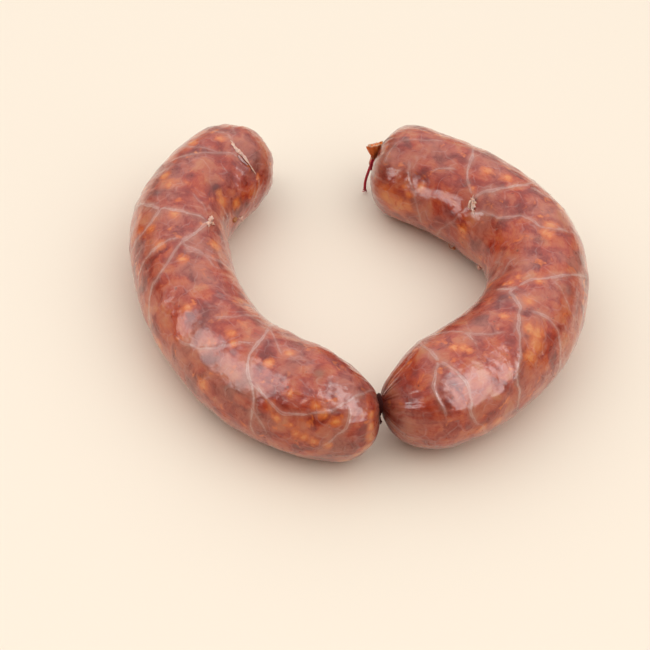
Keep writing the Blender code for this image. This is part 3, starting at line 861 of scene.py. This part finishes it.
def twineMaterial():
    # twisted cotton twine, dyed red and soaked: matt, dark between the strands, with its fibres drawn as
    # 0.3 mm grain, coarser than life, so that they show; the soaked colour is also painted shade,
    # strongest on the neck tie deep between the links
    material, shader, add, inMm = newMaterial("twisted_cotton_twine_dyed_red")
    fuzz = add("TexNoise", {"Vector": inMm, "Scale": 3.0, "Detail": 4.0, "Roughness": 0.65})
    stain = add("TexNoise", {"Vector": inMm, "Scale": 0.25, "Detail": 2.0})
    colour = add("ValToRGB", [fuzz], stops=[(0.3, twineLook["low"]), (0.5, twineLook["fibre"]),
                                            (0.72, twineLook["high"])])
    wet = add("MapRange", [stain, 0.4, 0.65, 0.0, 0.4])
    colour = add("Mix", {0: wet, 6: colour, 7: twineLook["low"]}, **colourMix)
    # soaked share: wet twine and painted shade, most on the neck tie
    soakedAndShaded = add("Attribute", (), "Fac", attribute_name="soakedAndShaded")
    colour = add("Mix", {0: soakedAndShaded, 6: colour, 7: twineLook["soakedAndShaded"]}, **colourMix)
    rough = add("MapRange", [stain, 0.3, 0.7, 0.85, 0.6])
    bump = add("Bump", {"Strength": 0.7, "Distance": 0.00006, "Height": fuzz})
    fillInputs(shader, {"Base Color": colour, "Roughness": rough, "Normal": bump,
                        **twineLook["shader"]})
    return material


scrapLook = {
    "pale": "#e4bea8", "grey": "#bc9080", "brown": "#a8662c",
    "shader": {"Roughness": 0.55, "Subsurface Weight": 0.3, "Subsurface Scale": 0.0006},
}


def scrapMaterial():
    # dried scraps of casing: whitish beige to grey, dull, with fine grain; some browned
    material, shader, add, inMm = newMaterial("dried_scrap_of_hog_casing")
    grain = add("TexNoise", {"Vector": inMm, "Scale": 1.6, "Detail": 4.0, "Roughness": 0.65})
    colour = add("ValToRGB", [grain], stops=[(0.35, scrapLook["grey"]), (0.6, scrapLook["pale"])])
    dried = add("Attribute", (), "Fac", attribute_name="dried")
    colour = add("Mix", {0: dried, 6: colour, 7: scrapLook["brown"]}, **colourMix)
    bump = add("Bump", {"Strength": 0.7, "Distance": 0.0001, "Height": grain})
    fillInputs(shader, {"Base Color": colour, "Normal": bump, **scrapLook["shader"]})
    return material


for pieces, material in ((links, casingMaterial()), (loose, scrapMaterial())):
    for piece in pieces:
        piece.data.materials.append(material)
        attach(piece, "root")
        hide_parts("sausage_links")
cord = twineMaterial()
for name, piece in ties.items():
    piece.data.materials.append(cord)
    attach(piece, "root")
    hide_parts(name)
print("materials made")


# floor, light and camera

leftWay, rightWay = (-0.74, -0.22, 0.64), (0.66, -0.34, 0.67)  # towards the lights
studio = {
    "floor": "#eddfcb", "farFloor": "#c8beb0", "paleRadius": (200, 700),  # mm
    "floorShader": {"Roughness": 0.8, "Specular IOR Level": 0.2},
    "top": "#f7faff", "front": "#57452f", "topWay": (0, 0.35, 0.94), "worldStrength": 1.36,
    "camera": {"at": (-0.00878, -0.48261, 0.52619), "tilt": 47.89, "roll": 8.04,
               "lens": 2000 / 650 * 36, "sensor": 36, "nearest": 0.01},
    "soft": {  # softboxes that light everything, but don't show as gloss
        "left": {"way": leftWay, "distance": 2.2, "size": (2.7, 2.7), "watts": 18},
        "right": {"way": rightWay, "distance": 2.2, "size": (2.9, 2.9), "watts": 19},
    },
    "cards": {  # window-like cards that only show as gloss, each on the links it names;
        # moved across and over from the middle of their side
        "leftWindow": {"way": leftWay, "distance": 2.1, "across": 0.3, "over": -0.1,
                       "size": (2.0, 2.3), "watts": 56, "on": ["left"]},
        "rightBand": {"way": leftWay, "distance": 2.1, "across": 0.9, "over": -0.75,
                      "size": (0.75, 1.1), "watts": 15, "on": ["right"]},
        "rightWindow": {"way": rightWay, "distance": 2.1, "across": -0.05, "over": 0.0,
                        "size": (1.9, 2.7), "watts": 82, "on": ["left", "right"]},
    },
}


def makeFloor():
    corners = 3000 * np.array([(-1, -1, 0), (1, -1, 0), (1, 1, 0), (-1, 1, 0)], float)
    floor = makeMesh("floor", corners, [[0, 1, 2, 3]])
    material, shader, add, inMm = newMaterial("plain_matt_floor")
    reach = add("VectorMath", [inMm], "Value", operation="LENGTH")
    reach = add("MapRange", [reach, *studio["paleRadius"], 0.0, 1.0], **smooth)
    colour = add("Mix", {0: reach, 6: studio["floor"], 7: studio["farFloor"]}, **colourMix)
    fillInputs(shader, {"Base Color": colour, **studio["floorShader"]})
    floor.data.materials.append(material)


def aim(thing, backward, across=None):
    # turns a light or camera so that it looks against the given direction
    backward = unit(backward)
    across = unit(np.cross((0, 0, 1), backward)) if across is None else across
    matrix = np.eye(4)
    matrix[:3] = np.column_stack([across, np.cross(backward, across), backward, thing.location])
    thing.matrix_world = matrix.T.tolist()


def makeLight(name, facts):
    way = unit(facts["way"])
    across = unit(np.cross((0, 0, 1), way))
    lamp = bpy.data.lights.new(name, "AREA")
    lamp.shape, lamp.energy = "RECTANGLE", facts["watts"]
    lamp.size, lamp.size_y = facts["size"]
    thing = bpy.data.objects.new(name, lamp)
    thing.location = (facts["distance"] * way + facts.get("across", 0) * across
                      + facts.get("over", 0) * np.cross(way, across))
    thing.visible_camera = False
    bpy.context.scene.collection.objects.link(thing)
    aim(thing, way)
    if "on" in facts:
        thing.visible_diffuse = False
        lit = bpy.data.collections.new(name + "_lights")
        for piece in links + loose:
            if piece.name.split("_")[0] in facts["on"]:
                lit.objects.link(piece)
        thing.light_linking.receiver_collection = lit
    else:
        thing.visible_glossy = False


def makeCamera(facts):
    # tilt is down from level, and roll about the view, in degrees
    tilt, roll = np.radians(facts["tilt"]), np.radians(facts["roll"])
    backward, level = np.array([0, -np.cos(tilt), np.sin(tilt)]), np.array([1.0, 0, 0])
    lens = bpy.data.cameras.new("camera")
    lens.sensor_width, lens.lens, lens.clip_start = facts["sensor"], facts["lens"], facts["nearest"]
    camera = bpy.data.objects.new("camera", lens)
    camera.location = facts["at"]
    bpy.context.scene.collection.objects.link(camera)
    aim(camera, backward, level * np.cos(roll) + np.cross(level, -backward) * np.sin(roll))
    bpy.context.scene.camera = camera


def makeWorld():
    # light from all round, brighter from the top way than from the front and below
    world = bpy.data.worlds.new("studio")
    world.use_nodes = True
    add = partial(addNode, world.node_tree)
    way = add("TexCoord", (), "Generated")
    lit = add("VectorMath", [way, studio["topWay"]], "Value", operation="DOT_PRODUCT")
    lit = add("MapRange", [lit, 0.15, 0.92, 0.0, 1.0], **smooth)
    lit = add("Mix", {0: lit, 6: studio["front"], 7: studio["top"]}, **colourMix)
    fillInputs(world.node_tree.nodes["Background"],
               {"Color": lit, "Strength": studio["worldStrength"]})
    bpy.context.scene.world = world
    bpy.context.scene.view_settings.view_transform = "Standard"


makeFloor()
for name, facts in (studio["soft"] | studio["cards"]).items():
    makeLight(name, facts)
makeCamera(studio["camera"])
makeWorld()
print("floor, light and camera set")
